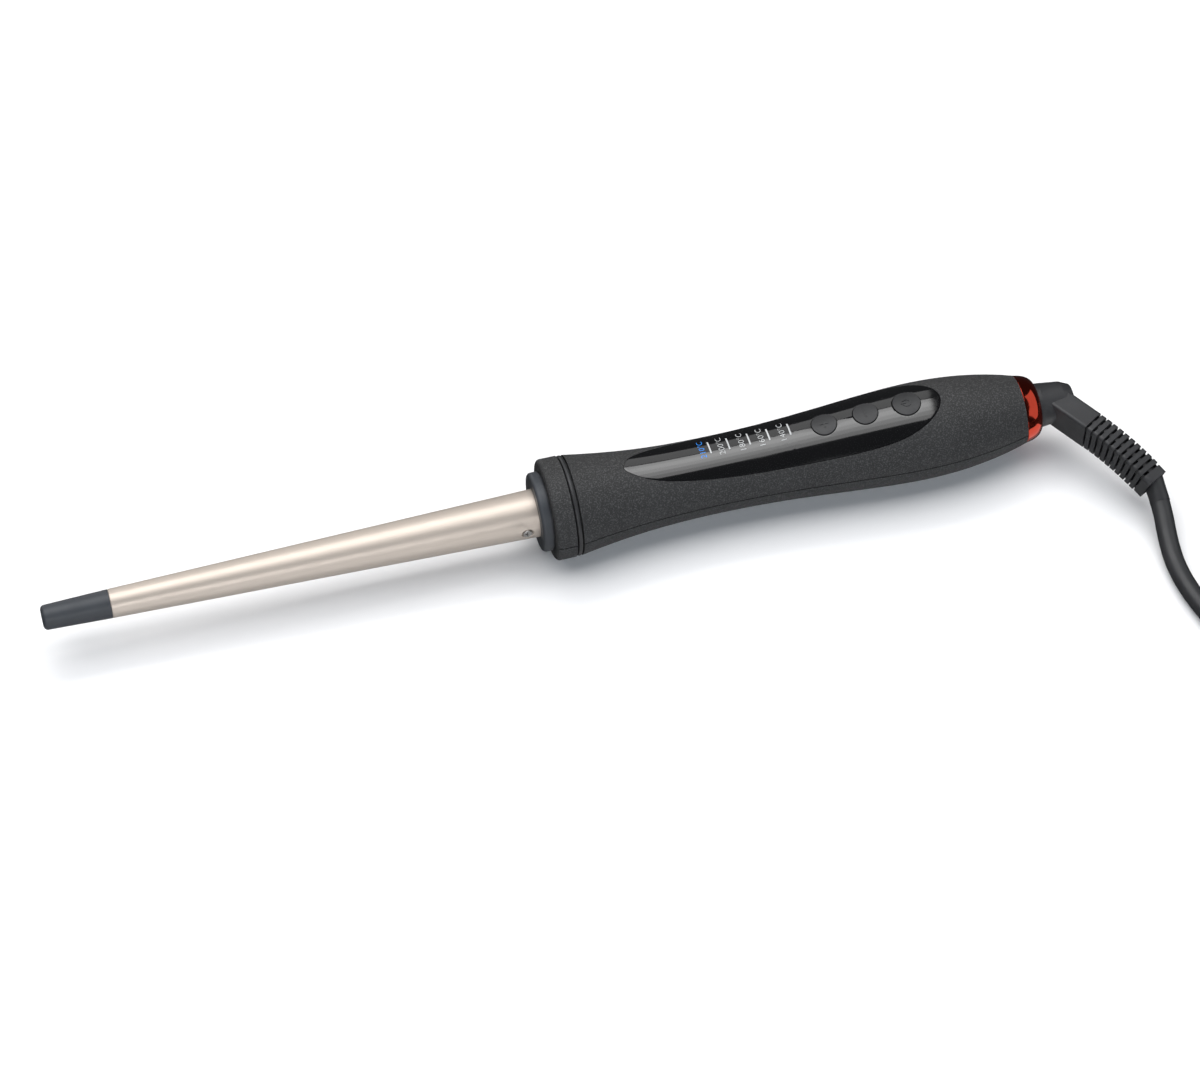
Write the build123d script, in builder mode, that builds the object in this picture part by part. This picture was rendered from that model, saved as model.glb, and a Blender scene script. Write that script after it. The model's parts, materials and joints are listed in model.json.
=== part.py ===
"""A conical curling wand lying on a table, with its swivel cord wound up beside it.

Millimetres. +X runs along the wand from the cool tip to the cord, +Z is up, and the
origin is on the table under the middle of the wand. The wand's own axis is a line
along X at the height axis_z. Profiles of turned pieces are drawn as (x, radius).
"""
from build123d import *
import os
from math import radians, sqrt, tan

# ---- driving dimensions ----------------------------------------------------------
# stations along the wand axis
tip_x = -187.0              # free end of the cool tip
barrel_x = -163.0           # front end of the barrel
collar_x = -11.0            # front face of the heat collar
band_x = -7.0               # front face of the handle
shell_end_x = 167.0         # rear end of the handle shells
ring_end_x = 173.5          # rear face of the tail ring
stub_end_x = 187.0          # rear end of the swivel stub

# radii
tip_radius = 4.4
barrel_front_radius = 5.15
barrel_rear_radius = 8.57
collar_radius = 14.2
band_radius = 18.2
axis_z = band_radius        # the front band rests on the table

# handle shells
wall = 2.4
grip_profile = [            # (x, outer radius) of the grip behind the trim ring
    (2.6, 18.0), (16.0, 16.0), (31.0, 14.5), (50.0, 13.8), (76.0, 14.3),
    (107.0, 16.45), (132.0, 17.5), (150.0, 16.1), (shell_end_x, 12.4),
]
groove_front_x = 0.1
groove_rear_x = grip_profile[0][0]
groove_radius = 16.2
parting_groove = 0.45
band_rounding = 1.5

# control panel: half outline in plan, from its front point to its rear point
panel_half_outline = [
    (21.6, 0.0), (23.6, 3.1), (28.5, 5.7), (41.0, 8.3), (60.0, 9.9), (85.0, 11.2),
    (109.0, 12.2), (122.0, 11.4), (131.0, 8.3), (135.6, 4.2), (137.0, 0.0),
]
panel_thickness = 1.4
panel_gap = 0.15
ledge_width = 1.6

# buttons, on the centre line of the panel
button_pitch = 15.1
button_stations = {"plus": 94.5, "minus": 94.5 + button_pitch, "power": 94.5 + 2 * button_pitch}
button_radii = {"plus": 4.4, "minus": 4.4, "power": 4.9}
button_gap = 0.3
button_rise = 0.35          # more than the keys' travel, so they never sink below the panel
icon_rise = 0.18

# control board, above the axis and below the panel
board_front_x = 22.0
board_rear_x = 138.4
board_width = 19.0
board_thickness = 1.6
board_top = 4.8             # above the axis
board_screw_x = (38.0, 86.5, 134.0)
led_front_x = 51.4
led_pitch = 6.75
led_count = 5

# joining screws of the shells
shell_screw_x = (16.0, 142.4)

# heater in the barrel
barrel_wall = 0.8
heater_front_x = -124.0
heater_rear_x = -40.0

# swivel
stub_radius = 7.9
shaft_radius = 4.0
running_gap = 0.08
shoulder_x = 162.3
clip_x = 149.0
contact_ring_x = (154.4, 158.2)
contact_ring_width = 2.4
contact_ring_radius = 5.2

# moulded strain relief: its centre line leaves the axis, bends and comes down
boot_start = (179.6, 0.0, axis_z)
boot_bend = (189.6, -15.4, 17.6)
boot_end = (204.1, -39.1, 12.5)
boot_width = 9.1
boot_height = 12.1
rib_count = 10
rib_thickness = 1.72
rib_gap = 0.83

# cord
cord_diameter = 7.0
cord_radius = cord_diameter / 2
lead_route = [              # from inside the strain relief to the coil
    (203.6, -32.3, 14.8), (205.0, -39.5, 12.6), (205.5, -49.0, 8.8), (204.0, -61.0, 5.0),
    (203.6, -72.0, cord_radius), (205.3, -84.5, cord_radius), (209.0, -97.5, cord_radius),
    (216.5, -115.5, cord_radius), (230.5, -131.0, cord_radius),
    (251.5, -142.8, cord_radius), (274.0, -145.0, cord_radius),
]
coil_centre = (274.0, -93.0)
coil_outer_turn = 52.0      # centre line radius of the outermost turn
coil_turns_wide = 4
coil_layers = 2
tail_route = [              # from the top of the coil to the plug
    (325.9, -95.7, 10.5), (326.2, -87.0, 10.3), (326.0, -77.5, 9.1), (325.2, -68.5, 7.7),
    (324.0, -60.0, 7.0),
]
tie_width = 12.0
tie_thickness = 1.2

# plug: two round pins, lying flat on the table
plug_thickness = 14.0
plug_width = 35.0
plug_length = 38.0
plug_relief_length = 22.0
pin_radius = 2.4
pin_length = 19.0
pin_spacing = 19.0

# ---- shared geometry ---------------------------------------------------------------
wand_axis = Axis((0, 0, axis_z), (1, 0, 0))
lower_axis = Axis((0, 0, axis_z), (-1, 0, 0))
side_plane = Plane.XY.offset(axis_z)     # turned profiles are drawn here, y is the radius

os.makedirs("parts", exist_ok=True)


def save(piece, name):
    """Label a finished sub-part and write it as parts/name.step."""
    piece.part.label = name
    export_step(piece.part, f"parts/{name}.step")


def turned(points, arc=360, axis=wand_axis):
    """A solid of revolution about the wand's axis from its (x, radius) corners."""
    with BuildPart() as body:
        with BuildSketch(side_plane):
            with BuildLine():
                Polyline(*points, close=True)
            make_face()
        revolve(axis=axis, revolution_arc=arc)
    return body


def level(x, height=0.0, y=0.0):
    """Horizontal sketch plane, its height counted from the wand's axis."""
    return Plane(origin=(x, y, axis_z + height), x_dir=(1, 0, 0), z_dir=(0, 0, 1))


def barrel_outside(x):
    """Outer radius of the barrel, a straight cone up to the collar."""
    slope = (barrel_rear_radius - barrel_front_radius) / (collar_x - barrel_x)
    return barrel_front_radius + slope * (min(x, collar_x) - barrel_x)


def barrel_inside(x):
    return barrel_outside(x) - barrel_wall


def grip_points(rise):
    """The grip's profile, moved out from its surface by rise."""
    return [(x, radius + rise) for x, radius in grip_profile]


def grip_radius(x):
    """Outer radius of the grip at a station, found on its profile spline."""
    curve = Edge.make_spline([Vector(a, b) for a, b in grip_profile])
    low, high = 0.0, 1.0
    for _ in range(40):
        middle = (low + high) / 2
        if curve.position_at(middle).X < x:
            low = middle
        else:
            high = middle
    return curve.position_at(low).Y


def grip_skin(depth, rise):
    """The top half of a layer of the grip, from depth below its surface to rise above."""
    outside = grip_points(rise)
    inside = grip_points(-depth)
    with BuildPart() as skin:
        with BuildSketch(side_plane):
            with BuildLine():
                Spline(*outside)
                Line(outside[-1], inside[-1])
                Spline(*reversed(inside))
                Line(inside[0], outside[0])
            make_face()
        revolve(axis=wand_axis, revolution_arc=180)
    return skin


def panel_outline(grow):
    """The panel's leaf-shaped outline in plan, grown outwards all round."""
    corners = panel_half_outline + [(x, -y) for x, y in panel_half_outline[-2:0:-1]]
    grown = []
    for n, (x, y) in enumerate(corners):
        before = corners[n - 1]
        after = corners[(n + 1) % len(corners)]
        step = Vector(after[0] - before[0], after[1] - before[1]).normalized()
        grown.append((x - step.Y * grow, y + step.X * grow))
    with BuildSketch(side_plane) as outline:
        with BuildLine():
            Spline(*grown, periodic=True)
        make_face()
    return outline


def phillips(radius):
    """Outline of a cross recess."""
    Rectangle(2 * radius, radius * 0.5)
    Rectangle(radius * 0.5, 2 * radius)


# ---- barrel end ------------------------------------------------------------------
def make_cool_tip():
    spigot_x = barrel_x + 8
    spigot_gap = 0.03
    nose_rounding = 1.6
    with BuildPart() as tip:
        with BuildSketch(side_plane):
            with BuildLine():
                Polyline(
                    (tip_x, 0), (tip_x, tip_radius), (barrel_x, barrel_front_radius),
                    (barrel_x, barrel_inside(barrel_x) - spigot_gap),
                    (spigot_x, barrel_inside(spigot_x) - spigot_gap), (spigot_x, 0),
                    close=True,
                )
            make_face()
        revolve(axis=wand_axis)
        fillet(tip.edges().filter_by(GeomType.CIRCLE).sort_by(Axis.X)[0], nose_rounding)
    save(tip, "cool_tip")


barrel_screw_x = -15.5
screw_hole_radius = 1.75
barrel_end_x = 1.9


def make_barrel():
    """A thin tapered tube, with a countersunk screw hole on its near side."""
    rim = 0.25
    countersink_radius = 2.35
    with BuildPart() as barrel:
        with BuildSketch(side_plane):
            with BuildLine():
                Polyline(
                    (barrel_x, barrel_inside(barrel_x)),
                    (barrel_x, barrel_front_radius - rim),
                    (barrel_x + rim, barrel_outside(barrel_x + rim)),
                    (collar_x, barrel_rear_radius),
                    (barrel_end_x, barrel_rear_radius),
                    (barrel_end_x, barrel_rear_radius - barrel_wall),
                    (collar_x, barrel_rear_radius - barrel_wall),
                    close=True,
                )
            make_face()
        revolve(axis=wand_axis)
        skin_y = -barrel_outside(barrel_screw_x)
        hole_plane = Plane(origin=(barrel_screw_x, skin_y, axis_z), x_dir=(1, 0, 0),
                           z_dir=(0, -1, 0))
        with Locations(hole_plane):
            CounterSinkHole(screw_hole_radius, countersink_radius, depth=3,
                            counter_sink_angle=90)
    save(barrel, "barrel")


def make_barrel_screw():
    """Pan-head screw through the barrel into its holder, along Y."""
    head_height = 0.85
    head_radius = 1.68
    recess_radius, recess_depth = 1.15, 0.5
    proud = 0.1                 # the head stands this far out of the barrel
    thread_radius = 1.0
    thread_tip_y = -3.4
    skin_y = -barrel_outside(barrel_screw_x)
    head_plane = Plane(origin=(barrel_screw_x, skin_y - proud, axis_z), x_dir=(1, 0, 0),
                       z_dir=(0, -1, 0))
    with BuildPart() as screw:
        with BuildSketch(head_plane):
            Circle(head_radius)
        extrude(amount=-head_height)
        fillet(screw.edges().sort_by(Axis.Y)[0], 0.3)
        with BuildSketch(head_plane.offset(-head_height)):
            Circle(thread_radius)
        extrude(amount=-(thread_tip_y - skin_y + proud - head_height))
        with BuildSketch(head_plane.rotated((0, 0, 20))):
            phillips(recess_radius)
        extrude(amount=-recess_depth, mode=Mode.SUBTRACT)
    save(screw, "barrel_screw")


holder_front_x = -21.0
holder_flange_x = 1.9
holder_rear_x = 8.0
lead_bore_radius = 2.3
lead_bore_offset = 3.9


def make_barrel_holder():
    """Heat-proof plug that carries the barrel and lets the wires through."""
    flange_radius = 11.6
    fit_gap = 0.03
    with BuildPart() as holder:
        with BuildSketch(side_plane):
            with BuildLine():
                Polyline(
                    (holder_front_x, 0),
                    (holder_front_x, barrel_inside(holder_front_x) - fit_gap),
                    (collar_x, barrel_inside(collar_x) - fit_gap),
                    (holder_flange_x, barrel_inside(collar_x) - fit_gap),
                    (holder_flange_x, flange_radius),
                    (holder_rear_x, flange_radius),
                    (holder_rear_x, 0),
                    close=True,
                )
            make_face()
        revolve(axis=wand_axis)
        with BuildSketch(Plane.YZ.offset(holder_front_x)):
            with Locations((0, axis_z + lead_bore_offset), (0, axis_z - lead_bore_offset)):
                Circle(lead_bore_radius)
        extrude(amount=holder_rear_x - holder_front_x, mode=Mode.SUBTRACT)
        screw_plane = Plane(origin=(barrel_screw_x, -20, axis_z), x_dir=(1, 0, 0),
                            z_dir=(0, 1, 0))
        with BuildSketch(screw_plane):
            Circle(1.0)
        extrude(amount=20 - 3.3, mode=Mode.SUBTRACT)
    save(holder, "barrel_holder")


def make_heat_collar():
    """Soft-edged ring where the barrel enters the handle."""
    bore = barrel_rear_radius + 0.06
    neck_x = -7.6
    neck_radius = 13.4
    flange_front_x = -4.6
    flange_rear_x = -2.4
    flange_radius = 15.4
    with BuildPart() as collar:
        with BuildSketch(side_plane):
            with BuildLine():
                Polyline(
                    (collar_x, bore), (collar_x, collar_radius), (neck_x, collar_radius),
                    (neck_x, neck_radius), (flange_front_x, neck_radius),
                    (flange_front_x, flange_radius), (flange_rear_x, flange_radius),
                    (flange_rear_x, bore), close=True,
                )
            make_face()
        revolve(axis=wand_axis)
        front_rims = collar.edges().filter_by(GeomType.CIRCLE).group_by(Axis.X)[0]
        fillet(front_rims.sort_by(SortBy.RADIUS)[-1], 1.3)
        fillet(front_rims.sort_by(SortBy.RADIUS)[0], 0.4)
    save(collar, "heat_collar")


# ---- heater ------------------------------------------------------------------------
strip_width = 5.6
strip_thickness = 1.2
film = 0.25


def make_heater():
    """Ceramic heating strip in its insulating sleeve between two half-round blocks."""
    length = heater_rear_x - heater_front_x
    middle_x = (heater_front_x + heater_rear_x) / 2
    centre_plane = level(middle_x)
    with BuildPart() as strip:
        with BuildSketch(centre_plane):
            Rectangle(length - 4, strip_width)
        extrude(amount=strip_thickness / 2, both=True)
    save(strip, "heater_strip")

    sleeve_width = strip_width + 2 * film
    sleeve_thickness = strip_thickness + 2 * film
    with BuildPart() as sleeve:
        with BuildSketch(centre_plane):
            Rectangle(length, sleeve_width)
        extrude(amount=sleeve_thickness / 2, both=True)
        with BuildSketch(centre_plane):
            Rectangle(length, strip_width)
        extrude(amount=strip_thickness / 2, both=True, mode=Mode.SUBTRACT)
    save(sleeve, "insulating_sleeve")

    fit_gap = 0.05
    split_gap = 0.4
    for name, axis, sign in (("heat_block_upper", wand_axis, 1),
                             ("heat_block_lower", lower_axis, -1)):
        corners = [
            (heater_front_x, 0), (heater_front_x, barrel_inside(heater_front_x) - fit_gap),
            (heater_rear_x, barrel_inside(heater_rear_x) - fit_gap), (heater_rear_x, 0),
        ]
        with BuildPart() as block:
            with BuildSketch(side_plane):
                with BuildLine():
                    Polyline(*corners, close=True)
                make_face()
            revolve(axis=axis, revolution_arc=180)
            with BuildSketch(centre_plane):
                Rectangle(length, 4 * barrel_rear_radius)
            extrude(amount=sign * split_gap, mode=Mode.SUBTRACT)
            with BuildSketch(centre_plane):
                Rectangle(length, sleeve_width)
            extrude(amount=sign * sleeve_thickness / 2, mode=Mode.SUBTRACT)
        save(block, name)


def make_sensors():
    """Thermistor bead and thermal fuse behind the heat blocks, inside the barrel."""
    bead_plane = Plane(origin=(heater_rear_x, 0, axis_z + lead_bore_offset), z_dir=(1, 0, 0))
    with BuildPart() as bead:
        with BuildSketch(bead_plane):
            Circle(1.3)
        extrude(amount=5)
        fillet(bead.edges().filter_by(GeomType.CIRCLE).sort_by(Axis.X)[-1], 0.8)
    save(bead, "thermistor")

    fuse_plane = Plane(origin=(-37.5, -1.6, axis_z - lead_bore_offset), z_dir=(1, 0, 0))
    with BuildPart() as fuse:
        with BuildSketch(fuse_plane):
            Circle(1.8)
        extrude(amount=11)
        chamfer(fuse.edges().filter_by(GeomType.CIRCLE), 0.4)
    save(fuse, "thermal_fuse")


def wire(route, radius, bend):
    """One insulated wire along straight runs joined by equal bends."""
    with BuildPart() as piece:
        with BuildLine():
            path = FilletPolyline(*route, radius=bend)
        with BuildSketch(Plane(origin=path @ 0, z_dir=path % 0)):
            Circle(radius)
        sweep()
    return piece


def save_group(pieces, name):
    """Several separate solids kept in one node."""
    with BuildPart() as group:
        for piece in pieces:
            add(piece.part)
    save(group, name)


def make_barrel_wires():
    """Heater leads through the lower bore and sensor leads through the upper one."""
    low = axis_z - lead_bore_offset
    high = axis_z + lead_bore_offset
    under_board = axis_z + board_top - board_thickness
    heater_wire = 0.8
    gap = 1.15                  # half the distance of the two wires in a bore
    spread = 5.8                # round the front screw boss
    heater_leads = [
        wire([(-26.3, -1.4, low), (-22.0, -gap, low), (8.6, -gap, low), (12.2, -spread, low),
              (28.0, -spread, low), (28.0, -spread, under_board)], heater_wire, 1.5),
        wire([(-39.4, 2.2, axis_z), (-30.0, gap, low), (8.6, gap, low), (12.2, spread, low),
              (28.0, spread, low), (28.0, spread, under_board)], heater_wire, 1.5),
    ]
    save_group(heater_leads, "heater_leads")
    sensor_wire = 0.5
    over_board = axis_z + board_top + 1.3
    sensor_leads = [
        wire([(-35.0, side * 0.65, high), (8.6, side * 0.65, high), (12.2, side * 4.6, high),
              (19.0, side * 4.6, over_board), (26.0, side * 4.6, over_board),
              (26.0, side * 4.6, axis_z + board_top)], sensor_wire, 0.6)
        for side in (-1, 1)
    ]
    save_group(sensor_leads, "sensor_leads")


# ---- handle ------------------------------------------------------------------------
def shell_half(axis):
    """Half of the hollow handle, with its bulkheads and its bearing ribs."""
    outer = grip_points(0)
    inner = [(x, radius - wall) for x, radius in grip_profile[1:]]
    cavity_x = 9.6
    bulkhead_radius = 9.0                # wires pass inside it
    holder_x, holder_rear, holder_radius = 1.9, 8.1, 11.7        # seat of the barrel holder
    barrel_clear = barrel_rear_radius + 0.05
    flange_x, flange_rear, flange_radius = -4.7, -2.3, 15.6      # slot for the collar's flange
    neck_radius = 13.5
    rib_stations = (150.2, 160.3)        # ribs round the swivel socket
    rib_width = 1.5
    rib_bore = 9.7
    with BuildPart() as half:
        with BuildSketch(side_plane):
            with BuildLine():
                Polyline(
                    (cavity_x, grip_radius(cavity_x) - wall), (cavity_x, bulkhead_radius),
                    (holder_rear, bulkhead_radius), (holder_rear, holder_radius),
                    (holder_x, holder_radius), (holder_x, barrel_clear),
                    (flange_rear, barrel_clear), (flange_rear, flange_radius),
                    (flange_x, flange_radius), (flange_x, neck_radius), (band_x, neck_radius),
                    (band_x, band_radius - band_rounding),
                )
                RadiusArc((band_x, band_radius - band_rounding),
                          (band_x + band_rounding, band_radius), band_rounding)
                Polyline(
                    (band_x + band_rounding, band_radius), (groove_front_x, band_radius),
                    (groove_front_x, groove_radius), (groove_rear_x, groove_radius),
                    outer[0],
                )
                Spline(*outer)
                Line(outer[-1], inner[-1])
                Spline(*reversed(inner), (cavity_x, grip_radius(cavity_x) - wall))
            make_face()
        revolve(axis=axis, revolution_arc=180)
        for rib_x in rib_stations:
            rib_rear = rib_x + rib_width
            with BuildSketch(side_plane):
                with BuildLine():
                    top = grip_radius(rib_rear) - wall / 2
                    Polyline((rib_x, rib_bore), (rib_rear, rib_bore), (rib_rear, top),
                             (rib_x, top), close=True)
                make_face()
            revolve(axis=axis, revolution_arc=180)
    return half


def parting_cutter():
    """Thin slab that cuts the fine groove along both parting lines."""
    depth = 0.5
    outside = grip_points(3)
    inside = grip_points(-depth)
    with BuildPart() as cutter:
        with BuildSketch(side_plane):
            for side in (1, -1):
                with BuildLine():
                    Spline(*[(x, side * y) for x, y in outside])
                    Line((outside[-1][0], side * outside[-1][1]),
                         (inside[-1][0], side * inside[-1][1]))
                    Spline(*[(x, side * y) for x, y in reversed(inside)])
                    Line((inside[0][0], side * inside[0][1]),
                         (outside[0][0], side * outside[0][1]))
                make_face()
            with Locations(((band_x + groove_front_x) / 2, band_radius),
                           ((band_x + groove_front_x) / 2, -band_radius)):
                Rectangle(groove_front_x - band_x + 2, 2 * depth)
        extrude(amount=parting_groove / 2, both=True)
    return cutter


def boss(x, z_from, z_to, radius):
    """Upright screw boss on the wand's centre plane, heights counted from the axis."""
    with BuildPart() as post:
        with BuildSketch(level(x, z_from)):
            Circle(radius)
        extrude(amount=z_to - z_from)
    return post


pilot_radius = 1.1
boss_radius = 3.2
screw_seat = -9.0           # underside of the screw heads' seats, from the axis


def make_upper_shell(cutter):
    with BuildPart() as pocket:
        add(grip_skin(panel_thickness + 0.05, 2).part)
        add(panel_outline(panel_gap).sketch)
        extrude(amount=30, mode=Mode.INTERSECT)
    with BuildPart() as shell:
        add(shell_half(wand_axis).part)
        for x in shell_screw_x:
            add(boss(x, 0.0, grip_radius(x) - wall / 2, boss_radius).part)
        add(panel_outline(-ledge_width).sketch)
        extrude(amount=30, mode=Mode.SUBTRACT)
        add(pocket.part, mode=Mode.SUBTRACT)
        add(cutter.part, mode=Mode.SUBTRACT)
        for x in shell_screw_x:
            with BuildSketch(level(x)):
                Circle(pilot_radius)
            extrude(amount=8, mode=Mode.SUBTRACT)
    save(shell, "upper_shell")


def make_lower_shell(cutter):
    head_pocket_radius = 2.8
    shank_radius = 1.45
    with BuildPart() as shell:
        add(shell_half(lower_axis).part)
        for x in shell_screw_x:
            add(boss(x, -(grip_radius(x) - wall / 2), 0.0, boss_radius + 0.8).part)
        for x in board_screw_x:
            add(boss(x, -(grip_radius(x) - wall / 2), board_top - board_thickness, 2.6).part)
        for x in shell_screw_x:
            with BuildSketch(level(x, screw_seat)):
                Circle(head_pocket_radius)
            extrude(amount=-20, mode=Mode.SUBTRACT)
            with BuildSketch(level(x)):
                Circle(shank_radius)
            extrude(amount=-20, mode=Mode.SUBTRACT)
        for x in board_screw_x:
            with BuildSketch(level(x, board_top - board_thickness)):
                Circle(0.9)
            extrude(amount=-7, mode=Mode.SUBTRACT)
        for side in (-1, 1):
            with BuildSketch(level(151.0, -7.0, y=side * (lead_way + 0.3))):
                Rectangle(3.0, 3.2)
            extrude(amount=3.2, mode=Mode.SUBTRACT)
        add(cutter.part, mode=Mode.SUBTRACT)
    save(shell, "lower_shell")


def make_trim_ring():
    """Narrow ring between two fine grooves, round the front of the handle."""
    side_gap = 0.55
    front = groove_front_x + side_gap
    rear = groove_rear_x - side_gap
    crown = band_radius - 0.15
    with BuildPart() as ring:
        with BuildSketch(side_plane):
            with BuildLine():
                Line((front, groove_radius), (rear, groove_radius))
                Line((rear, groove_radius), (rear, crown - 0.3))
                ThreePointArc((rear, crown - 0.3), ((front + rear) / 2, crown),
                              (front, crown - 0.3))
                Line((front, crown - 0.3), (front, groove_radius))
            make_face()
        revolve(axis=wand_axis)
    save(ring, "trim_ring")


def make_control_panel():
    with BuildPart() as panel:
        add(grip_skin(panel_thickness, 0).part)
        add(panel_outline(0).sketch)
        extrude(amount=30, mode=Mode.INTERSECT)
        for key, x in button_stations.items():
            with BuildSketch(level(x)):
                Circle(button_radii[key] + button_gap)
            extrude(amount=30, mode=Mode.SUBTRACT)
    save(panel, "control_panel")


# ---- buttons and their switches ------------------------------------------------------
switch_height = 3.5
plunger_radius = 1.55
plunger_top = board_top + 4.5


def icon(key):
    """Outline of a button's raised sign: plus, minus or power, read from the tip end."""
    stroke = 0.6
    reach = 1.7
    if key == "power":
        Circle(reach)
        Circle(reach - stroke, mode=Mode.SUBTRACT)
        with Locations((-reach, 0)):
            Rectangle(2.2, 1.5, mode=Mode.SUBTRACT)
        with Locations((-1.15, 0)):
            Rectangle(1.9, stroke)
    else:
        Rectangle(stroke, 2 * reach)
        if key == "plus":
            Rectangle(2 * reach, stroke)


def make_button(key):
    """Key cap that follows the panel's curve, with its flange and its stem."""
    x = button_stations[key]
    radius = button_radii[key]
    surface = grip_radius(x)
    flange_radius = radius + 1.0
    flange_top = sqrt((surface - panel_thickness) ** 2 - flange_radius ** 2) - 0.3
    cap_plane = level(x)
    with BuildPart() as sign:
        add(grip_skin(panel_thickness, button_rise + icon_rise).part)
        with BuildSketch(cap_plane):
            icon(key)
        extrude(amount=30, mode=Mode.INTERSECT)
    with BuildPart() as cap:
        add(grip_skin(panel_thickness + 3, button_rise).part)
        with BuildSketch(cap_plane):
            Circle(radius)
        extrude(amount=30, mode=Mode.INTERSECT)
        rim = cap.edges().group_by(SortBy.LENGTH)[-1].sort_by(Axis.Z)[-1]
        chamfer(rim, 0.2)
        add(sign.part)
        with BuildSketch(cap_plane.offset(flange_top - 0.8)):
            Circle(flange_radius)
        extrude(amount=0.8)
        with BuildSketch(cap_plane.offset(plunger_top)):
            Circle(1.6)
        extrude(amount=flange_top - plunger_top)
    save(cap, f"{key}_button")


def make_plunger(key):
    """The moving pin of a tactile switch."""
    plane = level(button_stations[key], board_top + 2.2)
    with BuildPart() as plunger:
        with BuildSketch(plane):
            Circle(plunger_radius)
        extrude(amount=plunger_top - board_top - 2.2)
    save(plunger, f"{key}_plunger")


def make_tact_switches():
    """Three tactile switch bodies on the board, each with a bore for its plunger."""
    with BuildPart() as switches:
        for x in button_stations.values():
            with BuildSketch(level(x, board_top)):
                Rectangle(6, 6)
            extrude(amount=switch_height)
        for x in button_stations.values():
            with BuildSketch(level(x, board_top + 1.5)):
                Circle(plunger_radius + running_gap)
            extrude(amount=switch_height, mode=Mode.SUBTRACT)
    save(switches, "tact_switches")


# ---- control board -------------------------------------------------------------------
def block(name, centre_x, size_x, size_y, z_from, z_to, centre_y=0.0, rounding=0.0):
    """Box-shaped component on the board, heights counted from the axis."""
    plane = level(centre_x, z_from, y=centre_y)
    with BuildPart() as piece:
        with BuildSketch(plane):
            Rectangle(size_x, size_y)
        extrude(amount=z_to - z_from)
        if rounding:
            fillet(piece.edges().filter_by(Axis.Z), rounding)
    save(piece, name)


def make_control_board():
    middle = (board_front_x + board_rear_x) / 2
    under = board_top - board_thickness
    with BuildPart() as board:
        with BuildSketch(level(middle, under)):
            RectangleRounded(board_rear_x - board_front_x, board_width, 2.5)
            with Locations(*[(x - middle, 0) for x in board_screw_x]):
                Circle(1.3, mode=Mode.SUBTRACT)
        extrude(amount=board_thickness)
    save(board, "control_board")
    block("microcontroller", 97.0, 8.6, 6.2, under - 1.7, under)
    block("film_capacitor", 74.0, 17.5, 7.5, under - 11.0, under, rounding=0.8)
    block("triac", 121.0, 10.0, 4.6, under - 12.0, under)
    with BuildPart() as capacitor:
        with BuildSketch(level(109.0, under)):
            Circle(4.0)
        extrude(amount=-12)
        fillet(capacitor.edges().sort_by(Axis.Z)[0], 0.6)
    save(capacitor, "smoothing_capacitor")
    with BuildPart() as fuse:
        with BuildSketch(Plane(origin=(43.0, 0, axis_z + under - 2.6), z_dir=(1, 0, 0))):
            Circle(2.5)
        extrude(amount=18)
    save(fuse, "mains_fuse")


def led_locations():
    return [(led_front_x + led_pitch * n, 0) for n in range(led_count)]


def make_indicator():
    """Row of light-emitting diodes under the scale, in a frame that keeps them apart."""
    with BuildPart() as leds:
        for x, y in led_locations():
            with BuildSketch(level(x, board_top, y=y)):
                Rectangle(2.0, 3.2)
            extrude(amount=1.1)
    save(leds, "indicator_leds")
    middle = led_front_x + led_pitch * (led_count - 1) / 2
    with BuildPart() as frame:
        with BuildSketch(level(middle, board_top)):
            RectangleRounded(led_pitch * led_count + 1.5, 9.0, 1.0)
            with Locations(*[(x - middle, y) for x, y in led_locations()]):
                Rectangle(led_pitch - 1.2, 6.6, mode=Mode.SUBTRACT)
        extrude(amount=6.5)
    save(frame, "light_frame")


def screw_pieces(stations, head_z, head_radius, head_height, length, thread_radius, down):
    """Pan-head screws standing on the centre plane, with cross recesses in their heads."""
    turn = -1 if down else 1
    with BuildPart() as screws:
        for x in stations:
            seat = level(x, head_z)
            with BuildSketch(seat):
                Circle(head_radius)
            extrude(amount=-turn * head_height)
            with BuildSketch(seat):
                Circle(thread_radius)
            extrude(amount=turn * length)
        for x in stations:
            top = level(x, head_z - turn * head_height)
            with BuildSketch(top):
                phillips(head_radius * 0.62)
            extrude(amount=turn * 0.9, mode=Mode.SUBTRACT)
    return screws


def make_screws():
    shell_screws = screw_pieces(shell_screw_x, screw_seat, 2.6, 1.8, 15.5, pilot_radius, False)
    save(shell_screws, "shell_screws")
    board_screws = screw_pieces(board_screw_x, board_top, 2.1, 1.3, 6.5, 0.9, True)
    save(board_screws, "board_screws")


# ---- swivel ------------------------------------------------------------------------
socket_front_x = 150.0
socket_rear_x = 162.0
socket_radius = 9.68
spring_thickness = 0.4
spring_width = contact_ring_width - 0.4
spring_gap = 0.05
spring_length = 18.0
lead_way = 9.9              # the supply wires pass the socket this far out


def make_tail_ring():
    """Bright ring that closes the handle and carries the swivel stub."""
    bore = stub_radius + running_gap
    spigot_radius = grip_profile[-1][1] - wall - 0.03
    with BuildPart() as ring:
        with BuildSketch(side_plane):
            with BuildLine():
                Polyline(
                    (shell_end_x, spigot_radius), (socket_rear_x, spigot_radius),
                    (socket_rear_x, bore), (ring_end_x, bore), (ring_end_x, 8.9),
                )
                Spline((ring_end_x, 8.9), (172.2, 10.6), (169.8, 11.75),
                       (shell_end_x, grip_profile[-1][1] - 0.05))
                Line((shell_end_x, grip_profile[-1][1] - 0.05), (shell_end_x, spigot_radius))
            make_face()
        revolve(axis=wand_axis)
    save(ring, "tail_ring")


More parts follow.
